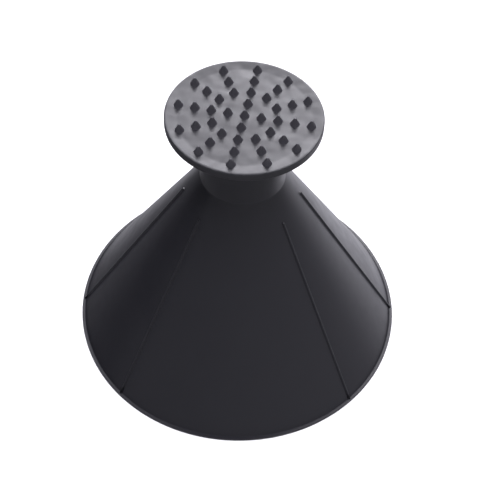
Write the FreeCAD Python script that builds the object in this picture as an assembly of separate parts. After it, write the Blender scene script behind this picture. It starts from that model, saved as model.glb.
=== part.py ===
"""Cone windscreen ice scraper: a wide scraping cone and the spiked cap pushed into its neck.

Units are millimetres. +Z is up along the cone's axis. The origin is the centre of the rim's
lower face, on which the scraper stands. The front of the object is -Y.
"""
import FreeCAD
import Part

import math
import os

from FreeCAD import Vector

# ---- driving dimensions ----------------------------------------------------------------

# Scraping rim: a thin flat flange round the wide mouth.
RIM_RADIUS = 75.0
RIM_THICKNESS = 0.8
RIM_EDGE_ROUND = 0.25
RIM_INNER_ROUND = 0.5

# Cone wall, moulded at one even thickness.
CONE_FOOT_RADIUS = 73.5  # outside of the wall where it leaves the flange
CONE_TOP_HEIGHT = 94.5  # where the wall would meet the neck with no fillet
WALL = 2.0
FOOT_FILLET = 0.5
SHOULDER_FILLET = 2.0

# Neck: the plain tube that is the handle, and the spout when the cap is out.
NECK_RADIUS = 18.0
NECK_BORE_RADIUS = 16.2
NECK_EDGE_ROUND = 0.3

# Long thin ribs down the outside of the cone. None stands at the very front or back.
RIB_ANGLES = (0.0, 180.0, 225.0, 315.0)  # degrees round from +X
RIB_WIDTH = 0.9
RIB_HEIGHT = 0.8
RIB_TOP_HEIGHT = 83.3
RIB_ROOT_DEPTH = 1.2  # how far a rib's root is sunk into the wall, so that they fuse

# Spiked cap: plate, turned-down edge, hollow plug and pyramids.
CAP_RADIUS = 32.0
CAP_EDGE_HEIGHT = 3.6
CAP_EDGE_TOP = 128.2
CAP_PLATE = 2.0
CAP_EDGE_WALL = 1.8
CAP_EDGE_ROUND = 0.45
DISH_DEPTH = 0.4  # the spiked face lies this far under the cap's raised edge
DISH_FLAT_RADIUS = 27.0
DISH_TOP_RADIUS = 31.1
DISH_FOOT_ROUND = 12.0
DISH_TOP_ROUND = 1.2
CAP_TWIST = -10.0  # degrees that the pushed-in cap stands turned from the cone's ribs

PLUG_CLEARANCE = 0.05  # radial, a running fit in the neck
PLUG_LENGTH = 18.0
PLUG_WALL = 1.8
PLUG_LEAD_IN = 1.2  # height of the slanted end that guides the plug into the neck
PLUG_TAPER = 0.4  # how far that end draws in
PLUG_END_ROUND = 0.3
PLUG_LEAD_ROUND = 0.6
PLUG_FLOOR_ROUND = 1.0  # inside the plug, under the plate
EDGE_ROOT_ROUND = 0.4  # inside the turned-down edge, under the plate

# Pyramids: one in the middle, and rows along twelve spokes. Every third spoke is an arm
# that starts one pitch further in than the others.
SPIKE_SPOKES = 12
SPIKE_ROWS = 4
SPIKE_PITCH = 6.75
SPIKE_DIAGONAL = 4.4
SPIKE_TIP_DIAGONAL = 1.3
SPIKE_HEIGHT = 3.2
SPIKE_ROOT_DEPTH = 0.5  # how far a pyramid is sunk into the plate, so that they fuse

# ---- worked-out dimensions -------------------------------------------------------------

WALL_SLOPE = (CONE_FOOT_RADIUS - NECK_RADIUS) / (CONE_TOP_HEIGHT - RIM_THICKNESS)
WALL_ACROSS = WALL * math.hypot(1.0, WALL_SLOPE)  # the wall's thickness, measured level
SPIKED_FACE = CAP_EDGE_TOP - DISH_DEPTH
PLATE_UNDERSIDE = SPIKED_FACE - CAP_PLATE
NECK_TOP = PLATE_UNDERSIDE  # the cap's plate rests on the end of the neck
PLUG_RADIUS = NECK_BORE_RADIUS - PLUG_CLEARANCE


def cone_outside(height):
    """Radius of the cone's outer surface at a height."""
    return CONE_FOOT_RADIUS - WALL_SLOPE * (height - RIM_THICKNESS)


def rounded_outline(corners):
    """Edges of a closed outline in the XZ half-plane.

    Each corner is (radius from the axis, height, rounding). A rounding of 0 leaves the
    corner sharp, and any other is an arc tangent to both sides.
    """
    points = [Vector(r, 0, z) for r, z, _ in corners]
    starts = []
    ends = []
    middles = []
    for i, (_, _, rounding) in enumerate(corners):
        here = points[i]
        back = (points[i - 1] - here).normalize()
        ahead = (points[(i + 1) % len(points)] - here).normalize()
        if rounding == 0:
            starts.append(here)
            ends.append(here)
            middles.append(None)
            continue
        half_angle = back.getAngle(ahead) / 2
        reach = rounding / math.tan(half_angle)
        bisector = (back + ahead).normalize()
        starts.append(here + back * reach)
        ends.append(here + ahead * reach)
        middles.append(here + bisector * (rounding / math.sin(half_angle) - rounding))

    edges = []
    for i, middle in enumerate(middles):
        if middle is not None:
            edges.append(Part.Arc(starts[i], middle, ends[i]).toShape())
        following = (i + 1) % len(points)
        edges.append(Part.LineSegment(ends[i], starts[following]).toShape())
    return edges


def turned(corners):
    """A solid of revolution about Z from a rounded outline."""
    wire = Part.Wire(Part.__sortEdges__(rounded_outline(corners)))
    return Part.Face(wire).revolve(Vector(0, 0, 0), Vector(0, 0, 1), 360)


def about_axis(shape, degrees):
    """A copy of the shape, turned about Z."""
    copy = shape.copy()
    copy.rotate(Vector(0, 0, 0), Vector(0, 0, 1), degrees)
    return copy


def cone_and_neck():
    """The rim, the cone's wall and the neck, as one turned shell open at both ends."""
    inside_foot = cone_outside(0) - WALL_ACROSS
    inside_top = CONE_TOP_HEIGHT - (NECK_BORE_RADIUS + WALL_ACROSS - NECK_RADIUS) / WALL_SLOPE
    return turned([
        (inside_foot, 0, RIM_INNER_ROUND),
        (RIM_RADIUS, 0, 0),
        (RIM_RADIUS, RIM_THICKNESS, RIM_EDGE_ROUND),
        (CONE_FOOT_RADIUS, RIM_THICKNESS, FOOT_FILLET),
        (NECK_RADIUS, CONE_TOP_HEIGHT, SHOULDER_FILLET),
        (NECK_RADIUS, NECK_TOP, NECK_EDGE_ROUND),
        (NECK_BORE_RADIUS, NECK_TOP, NECK_EDGE_ROUND),
        (NECK_BORE_RADIUS, inside_top, SHOULDER_FILLET),
    ])


def rib():
    """One rib, standing in the XZ plane, from its level top end down into the flange."""
    across = RIB_HEIGHT * math.hypot(1.0, WALL_SLOPE)
    sunk = RIB_ROOT_DEPTH * math.hypot(1.0, WALL_SLOPE)
    outline = [
        Vector(cone_outside(RIB_TOP_HEIGHT) - sunk, 0, RIB_TOP_HEIGHT),
        Vector(cone_outside(RIB_TOP_HEIGHT) + across, 0, RIB_TOP_HEIGHT),
        Vector(cone_outside(0) + across, 0, 0),
        Vector(cone_outside(0) - sunk, 0, 0),
    ]
    face = Part.Face(Part.makePolygon(outline + outline[:1]))
    face.translate(Vector(0, -RIB_WIDTH / 2, 0))
    return face.extrude(Vector(0, RIB_WIDTH, 0))


def scraper_cone():
    """The cone, its neck, rim and ribs: one moulding."""
    ribs = [about_axis(rib(), angle) for angle in RIB_ANGLES]
    return cone_and_neck().multiFuse(ribs).removeSplitter()


def cap_plate():
    """The dished plate with its turned-down edge and the hollow plug, as one turned solid."""
    edge_bottom = CAP_EDGE_TOP - CAP_EDGE_HEIGHT
    plug_end = PLATE_UNDERSIDE - PLUG_LENGTH
    bore = PLUG_RADIUS - PLUG_WALL
    return turned([
        (0, PLATE_UNDERSIDE, 0),
        (bore, PLATE_UNDERSIDE, PLUG_FLOOR_ROUND),
        (bore, plug_end, PLUG_END_ROUND),
        (PLUG_RADIUS - PLUG_TAPER, plug_end, PLUG_END_ROUND),
        (PLUG_RADIUS, plug_end + PLUG_LEAD_IN, PLUG_LEAD_ROUND),
        (PLUG_RADIUS, PLATE_UNDERSIDE, 0),
        (CAP_RADIUS - CAP_EDGE_WALL, PLATE_UNDERSIDE, EDGE_ROOT_ROUND),
        (CAP_RADIUS - CAP_EDGE_WALL, edge_bottom, CAP_EDGE_ROUND),
        (CAP_RADIUS, edge_bottom, CAP_EDGE_ROUND),
        (CAP_RADIUS, CAP_EDGE_TOP, CAP_EDGE_ROUND),
        (DISH_TOP_RADIUS, CAP_EDGE_TOP, DISH_TOP_ROUND),
        (DISH_FLAT_RADIUS, SPIKED_FACE, DISH_FOOT_ROUND),
        (0, SPIKED_FACE, 0),
    ])


def pyramid():
    """One square pyramid with a blunt tip, its foot at the origin and its diagonals along X and Y."""
    growth = (SPIKE_DIAGONAL - SPIKE_TIP_DIAGONAL) / SPIKE_HEIGHT
    foot = (SPIKE_DIAGONAL + growth * SPIKE_ROOT_DEPTH) / math.sqrt(8)
    tip = SPIKE_TIP_DIAGONAL / math.sqrt(8)
    spike = Part.makeWedge(-foot, 0, -foot, -tip, -tip, foot, SPIKE_HEIGHT + SPIKE_ROOT_DEPTH, foot, tip, tip)
    spike.rotate(Vector(0, 0, 0), Vector(1, 0, 0), 90)
    spike.translate(Vector(0, 0, -SPIKE_ROOT_DEPTH))
    return about_axis(spike, 45)


def spike_places():
    """Centres of the pyramids on the spiked face."""
    places = [Vector(0, 0, SPIKED_FACE)]
    for spoke in range(SPIKE_SPOKES):
        angle = 2 * math.pi * spoke / SPIKE_SPOKES
        first = 1 if spoke % 3 == 0 else 2
        for row in range(first, SPIKE_ROWS + 1):
            reach = SPIKE_PITCH * row
            places.append(Vector(reach * math.cos(angle), reach * math.sin(angle), SPIKED_FACE))
    return places


def breaker_cap():
    """The spiked cap: plate, edge, plug and pyramids in one moulding, as it stands in the neck."""
    spikes = []
    for place in spike_places():
        spike = pyramid()
        spike.translate(place)
        spikes.append(spike)
    return about_axis(cap_plate().multiFuse(spikes).removeSplitter(), CAP_TWIST)


def main():
    """Build each node and write its STEP file."""
    os.makedirs("parts", exist_ok=True)
    nodes = {
        "scraper_cone": scraper_cone(),
        "breaker_cap": breaker_cap(),
    }
    for name, shape in nodes.items():
        solids = shape.Solids
        box = shape.BoundBox
        print(f"{name}: {len(solids)} solid, {len(shape.Faces)} faces, valid {shape.isValid()}, "
              f"{shape.Volume / 1000:.2f} cm3, Z {box.ZMin:.2f} to {box.ZMax:.2f}")
        solids[0].exportStep(f"parts/{name}.step")


main()
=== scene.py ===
"""Looks of the cone ice scraper: the moulded cone, its ribs, the spiked cap and a plain studio.

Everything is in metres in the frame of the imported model. Sizes in the dataclasses are in
millimetres, as a mould maker would write them, and MM turns them into metres.
"""

import logging
import math
from dataclasses import dataclass, field
from enum import Enum

import bmesh
import bpy
from mathutils import Matrix, Vector


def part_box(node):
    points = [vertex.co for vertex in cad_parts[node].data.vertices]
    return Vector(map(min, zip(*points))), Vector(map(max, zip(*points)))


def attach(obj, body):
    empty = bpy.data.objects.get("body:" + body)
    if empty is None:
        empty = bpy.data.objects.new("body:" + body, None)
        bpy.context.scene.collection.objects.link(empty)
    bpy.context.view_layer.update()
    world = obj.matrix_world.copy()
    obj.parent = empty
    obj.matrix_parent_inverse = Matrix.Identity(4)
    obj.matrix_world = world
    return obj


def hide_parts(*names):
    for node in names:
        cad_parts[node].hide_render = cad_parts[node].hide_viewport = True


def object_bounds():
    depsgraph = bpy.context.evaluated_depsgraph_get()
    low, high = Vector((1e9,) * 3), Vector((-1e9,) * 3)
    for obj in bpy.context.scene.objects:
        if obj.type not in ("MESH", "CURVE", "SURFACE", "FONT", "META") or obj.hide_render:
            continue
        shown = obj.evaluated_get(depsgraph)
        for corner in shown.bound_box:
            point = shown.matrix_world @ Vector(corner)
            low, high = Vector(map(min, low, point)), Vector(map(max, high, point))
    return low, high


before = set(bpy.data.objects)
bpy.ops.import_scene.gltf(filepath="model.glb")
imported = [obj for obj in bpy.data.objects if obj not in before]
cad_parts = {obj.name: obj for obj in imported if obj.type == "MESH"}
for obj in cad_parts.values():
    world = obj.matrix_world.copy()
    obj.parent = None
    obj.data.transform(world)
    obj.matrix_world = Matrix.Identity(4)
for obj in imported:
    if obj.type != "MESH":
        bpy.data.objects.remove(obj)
CAD_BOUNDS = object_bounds()

MM = 0.001
# On the spike tips this wear also stands for a painted highlight.
WEAR = "wear"  # vertex attribute: 1 on the crest of an edge that hands and ice rub, 0 elsewhere

log = logging.getLogger("scraper")


# ---- small building helpers ------------------------------------------------------------


class Body(Enum):
    """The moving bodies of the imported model."""

    CONE = "cone"
    CAP = "cap"


class Slot(Enum):
    """The record's material slots."""

    CONE = "cone_plastic"
    CAP = "cap_plastic"


@dataclass(frozen=True)
class Corner:
    """One corner of a turned outline.

    Attributes:
        radius: distance from the axis, in millimetres.
        height: height over the floor, in millimetres.
        rounding: radius of the arc that replaces the corner, in millimetres.
        worn: whether the arc is an outer edge that gets rubbed.
    """

    radius: float
    height: float
    rounding: float = 0.0
    worn: bool = False


@dataclass(frozen=True)
class OutlinePoint:
    """One sampled point of a turned outline, with the share of wear it carries."""

    radius: float
    height: float
    wear: float


class Outline:
    """A closed outline in the half-plane of radius and height, with rounded corners."""

    ARC_STEP = math.radians(11)

    def __init__(self, corners: list[Corner]) -> None:
        """Keep the corners in order round the outline.

        Args:
            corners: corners in order, the last joined to the first.
        """
        self.corners = corners

    def points(self) -> list[OutlinePoint]:
        """Sample the outline.

        Returns:
            The sampled points in order, with arcs in place of rounded corners.
        """
        found: list[OutlinePoint] = []
        for index, corner in enumerate(self.corners):
            before = self.corners[index - 1]
            after = self.corners[(index + 1) % len(self.corners)]
            found.extend(self._arc(before, corner, after))
        return found

    def _arc(self, before: Corner, corner: Corner, after: Corner) -> list[OutlinePoint]:
        """Sample one corner.

        Args:
            before: the corner before it.
            corner: the corner itself.
            after: the corner after it.

        Returns:
            One point for a sharp corner, or the points of its arc.
        """
        if corner.rounding == 0:
            return [OutlinePoint(corner.radius, corner.height, 0.0)]
        here = Vector((corner.radius, corner.height))
        back = (Vector((before.radius, before.height)) - here).normalized()
        ahead = (Vector((after.radius, after.height)) - here).normalized()
        half = back.angle(ahead) / 2
        centre = here + (back + ahead).normalized() * (corner.rounding / math.sin(half))
        reach = corner.rounding / math.tan(half)
        first = here + back * reach - centre
        last = here + ahead * reach - centre
        turn = math.pi - 2 * half
        side = 1 if first.x * last.y - first.y * last.x > 0 else -1
        steps = max(3, math.ceil(turn / self.ARC_STEP))
        found = []
        for step in range(steps + 1):
            share = step / steps
            spoke = Matrix.Rotation(side * turn * share, 2) @ first
            wear = math.sin(math.pi * share) if corner.worn else 0.0
            found.append(OutlinePoint(centre.x + spoke.x, centre.y + spoke.y, wear))
        return found


def object_from(bm: bmesh.types.BMesh, name: str) -> bpy.types.Object:
    """Turn a bmesh into a smooth-shaded object at the origin.

    Args:
        bm: the mesh to keep, which is freed.
        name: the object's name.

    Returns:
        The new object, linked to the scene.
    """
    bmesh.ops.recalc_face_normals(bm, faces=bm.faces)
    mesh = bpy.data.meshes.new(name)
    bm.to_mesh(mesh)
    bm.free()
    mesh.shade_smooth()
    piece = bpy.data.objects.new(name, mesh)
    bpy.context.scene.collection.objects.link(piece)
    return piece


def turned(name: str, outline: Outline, segments: int) -> bpy.types.Object:
    """Turn an outline about Z into a closed mesh.

    Args:
        name: the object's name.
        outline: the outline to turn.
        segments: how many steps one turn has.

    Returns:
        The turned object.
    """
    bm = bmesh.new()
    wear = bm.verts.layers.float.new(WEAR)
    rings = []
    for point in outline.points():
        count = segments if point.radius > 0 else 1
        ring = []
        for step in range(count):
            angle = 2 * math.pi * step / segments
            x = point.radius * math.cos(angle) * MM
            y = point.radius * math.sin(angle) * MM
            vert = bm.verts.new((x, y, point.height * MM))
            vert[wear] = point.wear
            ring.append(vert)
        rings.append(ring)
    for index, ring in enumerate(rings):
        join_rings(bm, rings[index - 1], ring)
    return object_from(bm, name)


def join_rings(bm: bmesh.types.BMesh, first: list, second: list) -> None:
    """Fill the band between two rings of vertices, either of which may be a pole.

    Args:
        bm: the mesh that holds them.
        first: one ring.
        second: the other ring.
    """
    count = max(len(first), len(second))
    if count == 1:
        return
    for step in range(count):
        following = (step + 1) % count
        if len(first) == 1:
            bm.faces.new((first[0], second[following], second[step]))
        elif len(second) == 1:
            bm.faces.new((first[step], first[following], second[0]))
        else:
            bm.faces.new((first[step], first[following], second[following], second[step]))


def add_weighted_normals(piece: bpy.types.Object) -> None:
    """Let the large faces set the shading, so that flats stay flat beside small roundings.

    Args:
        piece: the object to shade.
    """
    normals = piece.modifiers.new("weighted normals", "WEIGHTED_NORMAL")
    normals.mode = "FACE_AREA"
    normals.weight = 100


def settle(piece: bpy.types.Object) -> bpy.types.Object:
    """Turn a piece and its modifiers into a plain mesh.

    Args:
        piece: the object to settle.

    Returns:
        The same object, with no modifiers left.
    """
    bpy.context.view_layer.update()
    evaluated = piece.evaluated_get(bpy.context.evaluated_depsgraph_get())
    mesh = bpy.data.meshes.new_from_object(evaluated)
    mesh.name = piece.name
    piece.modifiers.clear()
    piece.data = mesh
    return piece


# ---- node trees ------------------------------------------------------------------------


class Tree:
    """A thin layer over a node tree, which adds nodes and links them in one call."""

    def __init__(self, nodes: bpy.types.NodeTree) -> None:
        """Wrap a node tree.

        Args:
            nodes: the tree to fill.
        """
        self.tree = nodes

    def add(self, kind: str, settings: dict | None = None, **inputs: object) -> bpy.types.Node:
        """Add a node, set its properties and feed its inputs.

        Args:
            kind: the node's type name.
            settings: properties of the node itself.
            **inputs: values or sockets, keyed by the input's name with underscores for spaces,
                or by "i" and its index.

        Returns:
            The new node.
        """
        node = self.tree.nodes.new(kind)
        for key, value in (settings or {}).items():
            setattr(node, key, value)
        for key, value in inputs.items():
            self.feed(self.socket(node, key), value)
        return node

    @staticmethod
    def socket(node: bpy.types.Node, key: str) -> bpy.types.NodeSocket:
        """Find one input of a node.

        Args:
            node: the node.
            key: the input's index, as in "i0", or its name, as in "Base_Color".

        Returns:
            The input's socket.
        """
        if key[0] == "i" and key[1:].isdigit():
            return node.inputs[int(key[1:])]
        return node.inputs[key.replace("_", " ")]

    def feed(self, socket: bpy.types.NodeSocket, value: object) -> None:
        """Link a socket into an input, or set the input's value.

        Args:
            socket: the input to feed.
            value: the socket or the plain value that it gets.
        """
        if isinstance(value, bpy.types.NodeSocket):
            self.tree.links.new(value, socket)
        else:
            socket.default_value = value

    def math(self, operation: str, first: object, second: object = 0.0) -> bpy.types.NodeSocket:
        """Add a math node on one or two values.

        Args:
            operation: the math node's operation.
            first: the first value or socket.
            second: the second value or socket.

        Returns:
            The result's socket.
        """
        kind = "ShaderNodeMath"
        return self.add(kind, {"operation": operation}, i0=first, i1=second).outputs[0]


class Pattern:
    """A geometry-nodes tree that repeats the mesh it is put on, with named inputs."""

    def __init__(self, name: str, numbers: dict[str, int | float]) -> None:
        """Start the tree and its inputs.

        Args:
            name: the tree's name.
            numbers: the named inputs, whole numbers or lengths, and their values.
        """
        self.numbers = numbers
        self.tree = bpy.data.node_groups.new(name, "GeometryNodeTree")
        interface = self.tree.interface
        interface.new_socket("Geometry", in_out="OUTPUT", socket_type="NodeSocketGeometry")
        interface.new_socket("Geometry", in_out="INPUT", socket_type="NodeSocketGeometry")
        for label, value in numbers.items():
            kind = "NodeSocketInt" if isinstance(value, int) else "NodeSocketFloat"
            interface.new_socket(label, in_out="INPUT", socket_type=kind)
        interface.new_socket("Material", in_out="INPUT", socket_type="NodeSocketMaterial")
        self.nodes = Tree(self.tree)
        self.inputs = self.nodes.add("NodeGroupInput").outputs

    def finish(self, geometry: bpy.types.NodeSocket) -> None:
        """Close the tree with real geometry and the material.

        Args:
            geometry: the instances to make real.
        """
        real = self.nodes.add("GeometryNodeRealizeInstances", Geometry=geometry)
        dressed = self.nodes.add(
            "GeometryNodeSetMaterial", Geometry=real.outputs[0], Material=self.inputs["Material"])
        self.nodes.add("NodeGroupOutput", i0=dressed.outputs[0])

    def put_on(self, piece: bpy.types.Object, material: bpy.types.Material) -> None:
        """Put the pattern on a piece.

        Args:
            piece: the object whose mesh is repeated.
            material: the finish of the result.
        """
        modifier = piece.modifiers.new(self.tree.name, "NODES")
        modifier.node_group = self.tree
        for item in self.tree.interface.items_tree:
            if item.in_out == "INPUT" and item.name in self.numbers:
                modifier[item.identifier] = self.numbers[item.name]
            elif item.in_out == "INPUT" and item.name == "Material":
                modifier[item.identifier] = material


# ---- finishes --------------------------------------------------------------------------


@dataclass(frozen=True)
class MouldedPlastic:
    """Black injection-moulded plastic.

    Attributes:
        name: the material's name.
        colour: linear colour of the plastic.
        worn_colour: linear colour where an edge is rubbed.
        smooth: roughness of the shiniest patches.
        rough: roughness of the dullest patches.
        specular: specular level of the surface.
        grain: size of the moulded grain, in millimetres.
        grain_depth: depth of the grain, in millimetres.
        wave: size of the slow unevenness that cooling leaves, in millimetres.
        wave_depth: depth of that unevenness, in millimetres.
        wear: how strongly rubbed edges show, from 0 to 1.
        wear_break: size of the gaps in the rubbing, in millimetres.
        wear_dulling: roughness that full rubbing adds.
        patch: size of the slow patches of shine and tone, in millimetres.
        smudge: size of the smaller smudges in the shine, in millimetres.
        patch_tone: brightness of the palest patches, as a share of the colour.
    """

    name: str
    colour: tuple[float, float, float] = (0.012, 0.012, 0.015)
    worn_colour: tuple[float, float, float] = (0.060, 0.060, 0.066)
    smooth: float = 0.28
    rough: float = 0.37
    specular: float = 0.5
    grain: float = 0.45
    grain_depth: float = 0.004
    wave: float = 14.0
    wave_depth: float = 0.05
    wear: float = 0.6
    wear_break: float = 1.6
    wear_dulling: float = 0.12
    patch: float = 30.0
    smudge: float = 5.0
    patch_tone: float = 1.35

    def material(self) -> bpy.types.Material:
        """Build the material's nodes.

        Returns:
            The new material.
        """
        made = bpy.data.materials.new(self.name)
        made.use_nodes = True
        made.node_tree.nodes.clear()
        nodes = Tree(made.node_tree)
        place = nodes.add("ShaderNodeTexCoord").outputs["Object"]

        patches = self._noise(nodes, place, self.patch, 4.0)
        smudges = self._noise(nodes, place, self.smudge, 6.0)
        rubbed = self._rubbed(nodes, place)

        unevenness = nodes.math("MULTIPLY", nodes.math("ADD", patches, smudges), 0.5)
        dullness = nodes.add(
            "ShaderNodeMapRange", Value=unevenness, From_Min=0.35, From_Max=0.65,
            To_Min=self.smooth, To_Max=self.rough)
        dulling = nodes.math("MULTIPLY", rubbed, self.wear_dulling)
        roughness = nodes.math("ADD", dullness.outputs[0], dulling)

        palest = [self.patch_tone * channel for channel in self.colour]
        shade = nodes.add(
            "ShaderNodeMix", {"data_type": "RGBA"}, i0=nodes.math("MULTIPLY", patches, 0.5),
            i6=(*self.colour, 1.0), i7=(*palest, 1.0))
        tint = nodes.add(
            "ShaderNodeMix", {"data_type": "RGBA"}, i0=rubbed, i6=shade.outputs[2],
            i7=(*self.worn_colour, 1.0))

        surface = nodes.add(
            "ShaderNodeBsdfPrincipled", Base_Color=tint.outputs[2], Roughness=roughness,
            Specular_IOR_Level=self.specular, IOR=1.5, Normal=self._bump(nodes, place))
        nodes.add("ShaderNodeOutputMaterial", Surface=surface.outputs[0])
        return made

    @staticmethod
    def _noise(
            nodes: Tree, place: bpy.types.NodeSocket, size: float, detail: float) -> bpy.types.NodeSocket:
        """Add a noise.

        Args:
            nodes: the material's tree.
            place: the place on the object.
            size: how far across its features are, in millimetres.
            detail: how many finer layers it has.

        Returns:
            The noise's socket, from 0 to 1.
        """
        scale = 1.0 / (size * MM)
        return nodes.add("ShaderNodeTexNoise", Vector=place, Scale=scale, Detail=detail).outputs[0]

    def _rubbed(self, nodes: Tree, place: bpy.types.NodeSocket) -> bpy.types.NodeSocket:
        """Work out how far each point is rubbed pale, in broken patches along the outer edges.

        Args:
            nodes: the material's tree.
            place: the place on the object.

        Returns:
            The socket of the rubbing, from 0 to the finish's wear.
        """
        edge = nodes.add("ShaderNodeAttribute", {"attribute_name": WEAR}).outputs["Fac"]
        broken = nodes.add(
            "ShaderNodeMapRange", Value=self._noise(nodes, place, self.wear_break, 5.0),
            From_Min=0.42, From_Max=0.62, To_Min=0.25, To_Max=1.0)
        return nodes.math("MULTIPLY", nodes.math("MULTIPLY", edge, broken.outputs[0]), self.wear)

    def _bump(self, nodes: Tree, place: bpy.types.NodeSocket) -> bpy.types.NodeSocket:
        """Add the grain of the mould on top of the slow unevenness of cooling.

        Args:
            nodes: the material's tree.
            place: the place on the object.

        Returns:
            The socket of the bumped normal.
        """
        wave = nodes.add(
            "ShaderNodeBump", Height=self._noise(nodes, place, self.wave, 1.0), Strength=1.0,
            Distance=self.wave_depth * MM)
        grain = nodes.add(
            "ShaderNodeBump", Height=self._noise(nodes, place, self.grain, 3.0), Strength=1.0,
            Distance=self.grain_depth * MM, Normal=wave.outputs[0])
        return grain.outputs[0]


# ---- the cone --------------------------------------------------------------------------


@dataclass
class ScraperCone:
    """The scraping cone: rim, wall, neck and ribs, which are one moulding.

    Attributes hold its sizes in millimetres and its angles in degrees. The rim's radius and the
    neck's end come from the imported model. The ribs start at rib_first and stand rib_step apart,
    with rib_gap left out at the front, between the second and the third.
    """

    rim_radius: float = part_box("scraper_cone")[1].x / MM
    neck_end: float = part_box("scraper_cone")[1].z / MM
    rim_thickness: float = 0.8
    rim_edge_round: float = 0.25
    rim_scraping_round: float = 0.08
    rim_inner_round: float = 0.5
    foot_radius: float = 73.5
    foot_fillet: float = 0.5
    shoulder_height: float = 94.5
    shoulder_fillet: float = 2.0
    neck_radius: float = 18.0
    neck_edge_round: float = 0.3
    bore_radius: float = 16.2
    wall: float = 2.0
    rib_count: int = 4
    rib_first: float = 180.0
    rib_step: float = 45.0
    rib_gap: float = 45.0
    rib_height: float = 0.8
    rib_half_width: float = 0.45
    rib_top: float = 83.3
    rib_spans: int = 18
    segments: int = 256
    finish: MouldedPlastic = field(default_factory=lambda: MouldedPlastic("cone_black_plastic"))

    # A rib's rounded top end: drop below the top in millimetres, and share of the full section.
    RIB_END = ((0.0, 0.80), (0.03, 0.93), (0.12, 1.0))

    # One side of a rib's section: offset as a share of the half-width, rise as a share of the
    # height (0 is sunk into the wall), and wear.
    RIB_SIDE = (
        (2.10, 0.00, 0.0), (1.35, 0.07, 0.0), (1.02, 0.34, 0.0), (0.90, 0.70, 0.03), (0.62, 0.93, 0.12))
    RIB_CREST_WEAR = 0.12

    RIB_ROOT = 0.5  # how far a rib's root reaches through the wall, as a share of its thickness
    RIB_FLARE_SINK = 0.15  # how far down to the root its flared foot is sunk
    RIB_FOOT = 0.4  # where its lower end stops, as a share of the flange's thickness

    @property
    def slope(self) -> float:
        """How much the wall's radius shrinks for each unit of height."""
        return (self.foot_radius - self.neck_radius) / (self.shoulder_height - self.rim_thickness)

    @property
    def level_wall(self) -> float:
        """The wall's thickness measured level instead of square to it."""
        return self.wall * math.hypot(1.0, self.slope)

    def outside(self, height: float) -> float:
        """Work out the radius of the wall's outer face.

        Args:
            height: height over the floor, in millimetres.

        Returns:
            The radius there, in millimetres.
        """
        return self.foot_radius - self.slope * (height - self.rim_thickness)

    def outline(self) -> Outline:
        """The section of rim, wall and neck, open at both ends."""
        bore_start = self.shoulder_height - (
            self.bore_radius + self.level_wall - self.neck_radius) / self.slope
        return Outline([
            Corner(self.outside(0) - self.level_wall, 0, self.rim_inner_round),
            Corner(self.rim_radius, 0, self.rim_scraping_round, worn=True),
            Corner(self.rim_radius, self.rim_thickness, self.rim_edge_round, worn=True),
            Corner(self.foot_radius, self.rim_thickness, self.foot_fillet),
            Corner(self.neck_radius, self.shoulder_height, self.shoulder_fillet),
            Corner(self.neck_radius, self.neck_end, self.neck_edge_round),
            Corner(self.bore_radius, self.neck_end, self.neck_edge_round),
            Corner(self.bore_radius, bore_start, self.shoulder_fillet),
        ])

    def rib_stations(self) -> list[tuple[Vector, Vector, float]]:
        """Places along one rib, from its level top end down into the flange.

        Returns:
            For each place, the foot on the surface, the crest over it, and the share of the full
            width, with feet and crests as (radius, height).
        """
        level = Vector((self.rib_height * math.hypot(1.0, self.slope), 0.0))
        places = [(self.rib_top - drop, fullness) for drop, fullness in self.RIB_END]
        start = places[-1][0]
        end = self.RIB_FOOT * self.rim_thickness
        for span in range(1, self.rib_spans + 1):
            places.append((start + (end - start) * span / self.rib_spans, 1.0))
        stations = []
        for height, fullness in places:
            foot = Vector((self.outside(height), height))
            stations.append((foot, foot + level * fullness, fullness))
        return stations

    def rib_section(self) -> list[tuple[float, float, float]]:
        """Section of a rib: side offset, share of the height and wear, from foot to foot."""
        right = [(self.rib_half_width * share, rise, wear) for share, rise, wear in self.RIB_SIDE]
        left = [(-offset, rise, wear) for offset, rise, wear in reversed(right)]
        return right + [(0.0, 1.0, self.RIB_CREST_WEAR)] + left

    def rib(self) -> bpy.types.Object:
        """One rib standing in the XZ plane, with a flared foot sunk a little into the wall."""
        bm = bmesh.new()
        wear = bm.verts.layers.float.new(WEAR)
        rings = []
        for foot, crest, fullness in self.rib_stations():
            root = foot - Vector((self.RIB_ROOT * self.level_wall, 0.0))
            flare = foot.lerp(root, self.RIB_FLARE_SINK)
            ring = []
            for offset, rise, rubbed in self.rib_section():
                spot = foot.lerp(crest, rise) if rise > 0 else flare
                vert = bm.verts.new((spot.x * MM, offset * fullness * MM, spot.y * MM))
                vert[wear] = rubbed
                ring.append(vert)
            for side in (-1, 1):
                offset = side * self.rib_half_width * fullness
                ring.append(bm.verts.new((root.x * MM, offset * MM, root.y * MM)))
            rings.append(ring)
        for index in range(1, len(rings)):
            join_rings(bm, rings[index - 1], rings[index])
        bm.faces.new(rings[0])
        bm.faces.new(rings[-1])
        return object_from(bm, "scraper_cone_ribs")

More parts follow.
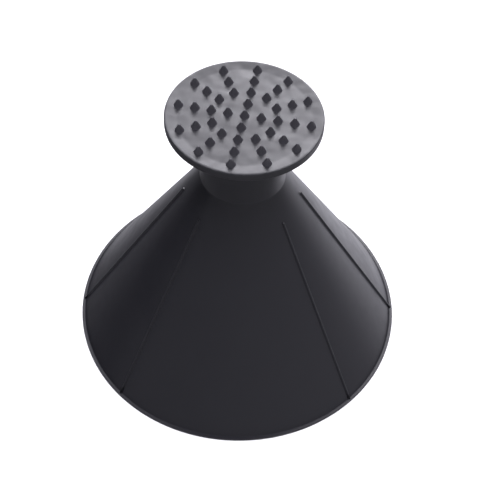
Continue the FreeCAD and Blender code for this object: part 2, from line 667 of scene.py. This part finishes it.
    def rib_pattern(self) -> Pattern:
        """Geometry nodes that stand the rib round the cone."""
        pattern = Pattern("ribs_round_cone", {
            "Ribs": self.rib_count, "First": math.radians(self.rib_first),
            "Step": math.radians(self.rib_step), "Gap": math.radians(self.rib_gap)})
        nodes = pattern.nodes
        index = nodes.add("GeometryNodeInputIndex").outputs[0]
        past_front = nodes.math("GREATER_THAN", index, 1.5)
        gap = nodes.math("MULTIPLY", past_front, pattern.inputs["Gap"])
        step = nodes.math("ADD", nodes.math("MULTIPLY", index, pattern.inputs["Step"]), gap)
        angle = nodes.math("ADD", step, pattern.inputs["First"])
        turn = nodes.add("ShaderNodeCombineXYZ", Z=angle)
        feet = nodes.add("GeometryNodePoints", Count=pattern.inputs["Ribs"])
        ring = nodes.add(
            "GeometryNodeInstanceOnPoints", Points=feet.outputs[0],
            Instance=pattern.inputs["Geometry"], Rotation=turn.outputs[0])
        pattern.finish(ring.outputs[0])
        return pattern

    def build(self) -> list[bpy.types.Object]:
        """Make the shell and the ribs and put them on the cone's body.

        Returns:
            The two finished pieces.
        """
        material = self.finish.material()
        shell = turned("scraper_cone_shell", self.outline(), self.segments)
        shell.data.materials.append(material)
        add_weighted_normals(shell)
        ribs = self.rib()
        self.rib_pattern().put_on(ribs, material)
        add_weighted_normals(ribs)
        for piece in (shell, ribs):
            settle(piece)
            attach(piece, Body.CONE.value)
        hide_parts("scraper_cone")
        return [shell, ribs]


# ---- the cap ---------------------------------------------------------------------------


@dataclass
class BreakerCap:
    """The spiked cap: dished plate, turned-down edge, hollow plug and pyramids.

    Attributes hold its sizes in millimetres and its twist in degrees. The plug's end, the spikes'
    tips and the plate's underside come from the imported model.
    """

    plug_end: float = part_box("breaker_cap")[0].z / MM
    spike_tips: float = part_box("breaker_cap")[1].z / MM
    plate_underside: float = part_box("scraper_cone")[1].z / MM
    radius: float = 32.0
    plate: float = 2.0
    edge_height: float = 3.6
    edge_wall: float = 1.8
    edge_round: float = 0.45
    edge_root_round: float = 0.4
    dish_depth: float = 0.4
    dish_flat_radius: float = 27.0
    dish_foot_round: float = 12.0
    dish_top_radius: float = 31.1
    dish_top_round: float = 1.2
    plug_radius: float = 16.15
    plug_wall: float = 1.8
    plug_lead_in: float = 1.2
    plug_taper: float = 0.4
    plug_end_round: float = 0.3
    plug_lead_round: float = 0.6
    plug_floor_round: float = 1.0
    twist: float = -10.0
    spokes: int = 12
    rows: int = 4
    pitch: float = 6.75
    spike_half_diagonal: float = 2.72
    tip_half_diagonal: float = 0.65
    spike_corner_round: float = 1.15
    lowest_spike: float = 0.975
    spike_seed: int = 4
    segments: int = 192
    finish: MouldedPlastic = field(default_factory=lambda: MouldedPlastic(
        "cap_black_plastic", smooth=0.39, rough=0.49, specular=0.62, wave=8.0, wave_depth=0.42))
    # The spikes are moulded in the plate's own black plastic. Their colour, about three times paler than
    # the plate's, is painted light: it stands for the light they catch from the bright plate and the sky.
    spike_finish_painted_lit: MouldedPlastic = field(default_factory=lambda: MouldedPlastic(
        "spike_plastic_painted_lit", colour=(0.037, 0.036, 0.042), smooth=0.40, rough=0.52))

    CORNER_ROUND_LIMIT = 0.48  # most that a rounding takes of a spike's half-diagonal
    CORNER_BULGE = 0.36  # how far a rounding's middle stands out, as a share of the rounding

    @property
    def face(self) -> float:
        """Height over the floor of the face that the spikes stand on."""
        return self.plate_underside + self.plate

    @property
    def spike_height(self) -> float:
        """Height of one spike over the face."""
        return self.spike_tips - self.face

    def outline(self) -> Outline:
        """The section of plate, edge and plug."""
        top = self.face + self.dish_depth
        bottom = top - self.edge_height
        bore = self.plug_radius - self.plug_wall
        lip = self.radius - self.edge_wall
        return Outline([
            Corner(0, self.plate_underside),
            Corner(bore, self.plate_underside, self.plug_floor_round),
            Corner(bore, self.plug_end, self.plug_end_round),
            Corner(self.plug_radius - self.plug_taper, self.plug_end, self.plug_end_round),
            Corner(self.plug_radius, self.plug_end + self.plug_lead_in, self.plug_lead_round),
            Corner(self.plug_radius, self.plate_underside),
            Corner(lip, self.plate_underside, self.edge_root_round),
            Corner(lip, bottom, self.edge_round),
            Corner(self.radius, bottom, self.edge_round, worn=True),
            Corner(self.radius, top, self.edge_round, worn=True),
            Corner(self.dish_top_radius, top, self.dish_top_round),
            Corner(self.dish_flat_radius, self.face, self.dish_foot_round),
            Corner(0, self.face),
        ])

    def spike(self) -> bpy.types.Object:
        """One square pyramid at the origin, diagonals along X and Y, with softened edges."""
        bm = bmesh.new()
        wear = bm.verts.layers.float.new(WEAR)
        rings = []
        for height, half_diagonal, rubbed in self.spike_levels():
            ring = []
            for x, y in self.soft_square(half_diagonal):
                vert = bm.verts.new((x * MM, y * MM, height * MM))
                vert[wear] = rubbed
                ring.append(vert)
            rings.append(ring)
        for index in range(1, len(rings)):
            join_rings(bm, rings[index - 1], rings[index])
        bm.faces.new(rings[0])
        bm.faces.new(rings[-1])
        return object_from(bm, "breaker_cap_spikes")

    def spike_levels(self) -> list[tuple[float, float, float]]:
        """Levels up one spike: a flare at its foot, straight sides and a blunted tip.

        Returns:
            For each level, its height over the face, half its diagonal and its wear, which near the tip
            is rubbing and also a painted highlight.
        """
        top = self.spike_height
        foot = self.spike_half_diagonal
        tip = self.tip_half_diagonal
        lean = (foot - tip) / top
        # Near the tip the wear rises to 1. It is rubbing from ice, and it is also a painted highlight for
        # the light that the blunt tip catches.
        return [
            (-0.30, foot + 0.45, 0.0),
            (0.00, foot + 0.12, 0.0),
            (0.16, foot - 0.16 * lean + 0.02, 0.0),
            (top * 0.5, foot - top * 0.5 * lean, 0.1),
            (top - 0.30, tip + 0.30 * lean, 0.7),
            (top - 0.08, tip - 0.02, 1.0),
            (top, tip - 0.22, 1.0),
        ]

    def soft_square(self, half_diagonal: float) -> list[tuple[float, float]]:
        """Lay out a square on its diagonals, each corner rounded off by three points.

        Args:
            half_diagonal: half the square's diagonal, in millimetres.

        Returns:
            The points in order round the square.
        """
        soft = min(self.spike_corner_round, self.CORNER_ROUND_LIMIT * half_diagonal)
        found = []
        for quarter in range(4):
            angle = quarter * math.pi / 2
            for swing, reach in ((-1, 0.0), (0, self.CORNER_BULGE * soft), (1, 0.0)):
                radial = half_diagonal - soft + reach
                across = swing * soft
                found.append((
                    radial * math.cos(angle) - across * math.sin(angle),
                    radial * math.sin(angle) + across * math.cos(angle)))
        return found

    def spike_pattern(self) -> Pattern:
        """Geometry nodes that stand the spike along the spokes and once in the middle."""
        pattern = Pattern("spikes_on_cap", {
            "Spokes": self.spokes, "Rows": self.rows, "Pitch": self.pitch * MM,
            "Height": self.face * MM, "Twist": math.radians(self.twist),
            "Lowest": self.lowest_spike, "Seed": self.spike_seed})
        nodes = pattern.nodes
        given = pattern.inputs
        index = nodes.add("GeometryNodeInputIndex").outputs[0]
        spoke = nodes.math("FLOOR", nodes.math("DIVIDE", index, given["Rows"]))
        row = nodes.math("ADD", nodes.math("MODULO", index, given["Rows"]), 1.0)
        turn = nodes.math("MULTIPLY", spoke, nodes.math("DIVIDE", 2 * math.pi, given["Spokes"]))
        angle = nodes.math("ADD", turn, given["Twist"])
        reach = nodes.math("MULTIPLY", row, given["Pitch"])
        place = nodes.add(
            "ShaderNodeCombineXYZ", X=nodes.math("MULTIPLY", reach, nodes.math("COSINE", angle)),
            Y=nodes.math("MULTIPLY", reach, nodes.math("SINE", angle)), Z=given["Height"])
        total = nodes.math("MULTIPLY", given["Spokes"], given["Rows"])
        along = nodes.add("GeometryNodePoints", Count=total, Position=place.outputs[0])

        plain_spoke = nodes.math("GREATER_THAN", nodes.math("MODULO", spoke, 3.0), 0.5)
        first_row = nodes.math("LESS_THAN", row, 1.5)
        kept = nodes.add(
            "GeometryNodeDeleteGeometry", Geometry=along.outputs[0],
            Selection=nodes.math("MULTIPLY", plain_spoke, first_row))
        centre = nodes.add("ShaderNodeCombineXYZ", Z=given["Height"])
        middle = nodes.add("GeometryNodePoints", Count=1, Position=centre.outputs[0])
        places = nodes.add("GeometryNodeJoinGeometry")
        nodes.feed(places.inputs[0], kept.outputs[0])
        nodes.feed(places.inputs[0], middle.outputs[0])

        blunting = nodes.add(
            "FunctionNodeRandomValue", {"data_type": "FLOAT"}, i2=given["Lowest"], i3=1.0,
            Seed=given["Seed"])
        size = nodes.add("ShaderNodeCombineXYZ", X=1.0, Y=1.0, Z=blunting.outputs[1])
        facing = nodes.add("ShaderNodeCombineXYZ", Z=given["Twist"])
        spikes = nodes.add(
            "GeometryNodeInstanceOnPoints", Points=places.outputs[0], Instance=given["Geometry"],
            Rotation=facing.outputs[0], Scale=size.outputs[0])
        pattern.finish(spikes.outputs[0])
        return pattern

    def build(self) -> list[bpy.types.Object]:
        """Make the plate with its plug and the spikes, and put them on the cap's body.

        Returns:
            The two finished pieces.
        """
        material = self.finish.material()
        plate = turned("breaker_cap_plate", self.outline(), self.segments)
        plate.data.materials.append(material)
        add_weighted_normals(plate)
        spikes = self.spike()
        # The spikes take the paler finish, whose colour is painted light.
        self.spike_pattern().put_on(spikes, self.spike_finish_painted_lit.material())
        add_weighted_normals(spikes)
        for piece in (plate, spikes):
            settle(piece)
            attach(piece, Body.CAP.value)
        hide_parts("breaker_cap")
        return [plate, spikes]


# ---- the studio ------------------------------------------------------------------------


@dataclass(frozen=True)
class Softbox:
    """A soft light that faces the scraper.

    Attributes:
        name: the light's name.
        azimuth: degrees round from +X, as seen from above.
        elevation: degrees above the floor.
        distance: metres from the scraper's middle.
        width: width of the light, in metres.
        height: height of the light, in metres.
        power: power in watts.
        glossy: whether glossy surfaces mirror it.
        tint: colour of its light.
    """

    name: str
    azimuth: float
    elevation: float
    distance: float
    width: float
    height: float
    power: float
    glossy: bool = True
    tint: tuple[float, float, float] = (1.0, 0.985, 1.05)

    def build(self, target: Vector) -> bpy.types.Object:
        """Hang the light.

        Args:
            target: the point that it faces.

        Returns:
            The light's object.
        """
        azimuth = math.radians(self.azimuth)
        elevation = math.radians(self.elevation)
        away = Vector((
            math.cos(elevation) * math.cos(azimuth), math.cos(elevation) * math.sin(azimuth),
            math.sin(elevation)))
        light = bpy.data.lights.new(self.name, "AREA")
        light.shape = "RECTANGLE"
        light.size = self.width
        light.size_y = self.height
        light.energy = self.power
        light.color = self.tint
        lamp = bpy.data.objects.new(self.name, light)
        lamp.location = target + away * self.distance
        lamp.rotation_euler = away.to_track_quat("Z", "Y").to_euler()
        lamp.visible_glossy = self.glossy
        bpy.context.scene.collection.objects.link(lamp)
        return lamp


@dataclass
class Studio:
    """A plain pale floor, soft lights and the camera.

    Attributes:
        floor_side: side of the floor, in metres.
        floor_colour: linear colour of the floor.
        surround_dim: strength of the surround on its dim side.
        surround_pale: strength of the surround on its pale side.
        pale_azimuth: where the surround is palest.
        table_glow: strength of the light that comes back from the table behind.
        table_glow_azimuth: where the table glows most.
        table_glow_elevation: how far down it glows most.
        table_glow_edge: cosines from that direction at which the glow starts and is full.
        flag_azimuth: where the dark flag stands.
        flag_elevation: how high the dark flag stands.
        flag_edge: cosines from that direction at which the flag starts and is full.
        flag_light: share of the surround that the flag leaves.
        under_edge: cosines from straight down at which the surround starts to dim and is dimmest.
        under_light: share of the surround that is left below.
        light_tint: colour of the surround.
        camera_elevation: degrees above the floor.
        camera_distance: metres from the point on the axis that the camera is set up on.
        aim_height: height of that point, in metres.
        pan: degrees that the camera then turns left.
        tilt: degrees that it then turns up.
        roll: degrees that it then leans left.
        lens: focal length, in millimetres.
        sensor: width of the sensor, in millimetres.
        shift: sideways shift of the lens, as a share of the picture.
        lights: the softboxes.

    The directions in the surround are in radians.
    """

    floor_side: float = 8.0
    floor_colour: tuple[float, float, float] = (0.86, 0.86, 0.86)
    surround_dim: float = 0.16
    surround_pale: float = 0.355
    pale_azimuth: float = math.radians(-25)
    table_glow: float = 0.84
    table_glow_azimuth: float = math.radians(65)
    table_glow_elevation: float = math.radians(-25)
    table_glow_edge: tuple[float, float] = (0.55, 1.0)
    flag_azimuth: float = math.radians(172)
    flag_elevation: float = 0.0
    flag_edge: tuple[float, float] = (0.87, 0.955)
    flag_light: float = 0.05
    under_edge: tuple[float, float] = (0.4, 0.75)
    under_light: float = 0.75
    light_tint: tuple[float, float, float] = (1.0, 0.985, 1.09)
    camera_elevation: float = 50.36
    camera_distance: float = 0.4915
    aim_height: float = 0.060
    pan: float = -2.46
    tilt: float = -0.71
    roll: float = 1.9
    lens: float = 82.76
    sensor: float = 36.0
    shift: float = -0.1
    lights: list[Softbox] = field(default_factory=lambda: [
        Softbox(
            "back_softbox", azimuth=82, elevation=45, distance=1.6, width=0.75, height=0.95, power=8),
        Softbox(
            "back_strip", azimuth=86, elevation=34, distance=1.6, width=0.8, height=0.2, power=12.5),
        Softbox(
            "overhead_softbox", azimuth=90, elevation=88, distance=2.2, width=2.4, height=2.4,
            power=85, glossy=False),
    ])

    def build(self) -> None:
        """Lay the floor, set the surround, hang the lights and place the camera."""
        self.lay_floor()
        self.set_surround()
        low, high = CAD_BOUNDS
        middle = (Vector(low) + Vector(high)) / 2
        for softbox in self.lights:
            softbox.build(middle)
        self.place_camera()

    def lay_floor(self) -> None:
        """A plain pale floor under the rim."""
        bm = bmesh.new()
        bmesh.ops.create_grid(bm, x_segments=1, y_segments=1, size=self.floor_side / 2)
        floor = object_from(bm, "floor")
        paper = bpy.data.materials.new("floor_paper")
        paper.use_nodes = True
        paper.node_tree.nodes.clear()
        nodes = Tree(paper.node_tree)
        surface = nodes.add(
            "ShaderNodeBsdfPrincipled", Base_Color=(*self.floor_colour, 1.0), Roughness=0.9,
            Specular_IOR_Level=0.2)
        nodes.add("ShaderNodeOutputMaterial", Surface=surface.outputs[0])
        floor.data.materials.append(paper)
        floor.visible_glossy = False
        floor.visible_shadow = False

    def set_surround(self) -> None:
        """Surround the scraper with dim walls at the left and behind, and paler ones elsewhere."""
        world = bpy.data.worlds.new("studio")
        world.use_nodes = True
        world.node_tree.nodes.clear()
        nodes = Tree(world.node_tree)
        direction = nodes.add("ShaderNodeTexCoord").outputs["Generated"]
        pale_side = self.towards(self.pale_azimuth, 0.0)
        flag_side = self.towards(self.flag_azimuth, self.flag_elevation)
        table_side = self.towards(self.table_glow_azimuth, self.table_glow_elevation)
        down = Vector((0, 0, -1))
        walls = self.fade(
            nodes, direction, pale_side, (-1.0, 1.0), (self.surround_dim, self.surround_pale))
        flag = self.fade(nodes, direction, flag_side, self.flag_edge, (1.0, self.flag_light))
        under = self.fade(nodes, direction, down, self.under_edge, (1.0, self.under_light))
        table = self.fade(nodes, direction, table_side, self.table_glow_edge, (0.0, self.table_glow))
        walls = nodes.math("MULTIPLY", walls, nodes.math("MULTIPLY", flag, under))
        strength = nodes.math("ADD", walls, table)
        grey = nodes.add("ShaderNodeBackground", Color=(*self.light_tint, 1.0), Strength=strength)
        nodes.add("ShaderNodeOutputWorld", Surface=grey.outputs[0])
        bpy.context.scene.world = world

    @staticmethod
    def towards(azimuth: float, elevation: float) -> Vector:
        """Work out a direction.

        Args:
            azimuth: angle round from +X, in radians.
            elevation: angle above the floor, in radians.

        Returns:
            The unit vector.
        """
        level = math.cos(elevation)
        return Vector((level * math.cos(azimuth), level * math.sin(azimuth), math.sin(elevation)))

    @staticmethod
    def fade(nodes: Tree, direction: bpy.types.NodeSocket, towards: Vector,
             cosines: tuple[float, float], values: tuple[float, float]) -> bpy.types.NodeSocket:
        """A value that changes as a direction turns towards another.

        Args:
            nodes: the world's tree.
            direction: the direction that is looked in.
            towards: the direction that it is compared with.
            cosines: cosines of the angles between the two at which the change starts and ends.
            values: the value before and after the change.

        Returns:
            The value's socket.
        """
        facing = nodes.add(
            "ShaderNodeVectorMath", {"operation": "DOT_PRODUCT"}, i0=direction, i1=towards)
        return nodes.add(
            "ShaderNodeMapRange", Value=facing.outputs["Value"], From_Min=cosines[0],
            From_Max=cosines[1], To_Min=values[0], To_Max=values[1]).outputs[0]

    def place_camera(self) -> None:
        """The camera looks down at the front of the scraper, over the cap's near edge."""
        elevation = math.radians(self.camera_elevation)
        right = Vector((1, 0, 0))
        back = Vector((0, -math.cos(elevation), math.sin(elevation)))
        up = back.cross(right)
        place = Vector((0, 0, self.aim_height)) + back * self.camera_distance
        pan = Matrix.Rotation(math.radians(self.pan), 3, up)
        right, back = pan @ right, pan @ back
        tilt = Matrix.Rotation(math.radians(self.tilt), 3, right)
        up, back = tilt @ up, tilt @ back
        roll = Matrix.Rotation(math.radians(self.roll), 3, back)
        right, up = roll @ right, roll @ up
        data = bpy.data.cameras.new("camera")
        data.sensor_width = self.sensor
        data.sensor_fit = "HORIZONTAL"
        data.lens = self.lens
        data.shift_x = self.shift
        data.clip_start = 0.01
        camera = bpy.data.objects.new("camera", data)
        camera.matrix_world = Matrix.Translation(place) @ Matrix((right, up, back)).transposed().to_4x4()
        bpy.context.scene.collection.objects.link(camera)
        bpy.context.scene.camera = camera


# ---- the whole scene -------------------------------------------------------------------


def main() -> None:
    """Build the scraper and its studio in order."""
    logging.basicConfig(level=logging.INFO, format="%(name)s: %(message)s")
    bpy.context.scene.view_settings.view_transform = "Standard"
    for assembly in (ScraperCone(), BreakerCap()):
        for piece in assembly.build():
            log.info("%s: %d faces", piece.name, len(piece.data.polygons))
    Studio().build()


if __name__ == "__main__":
    main()
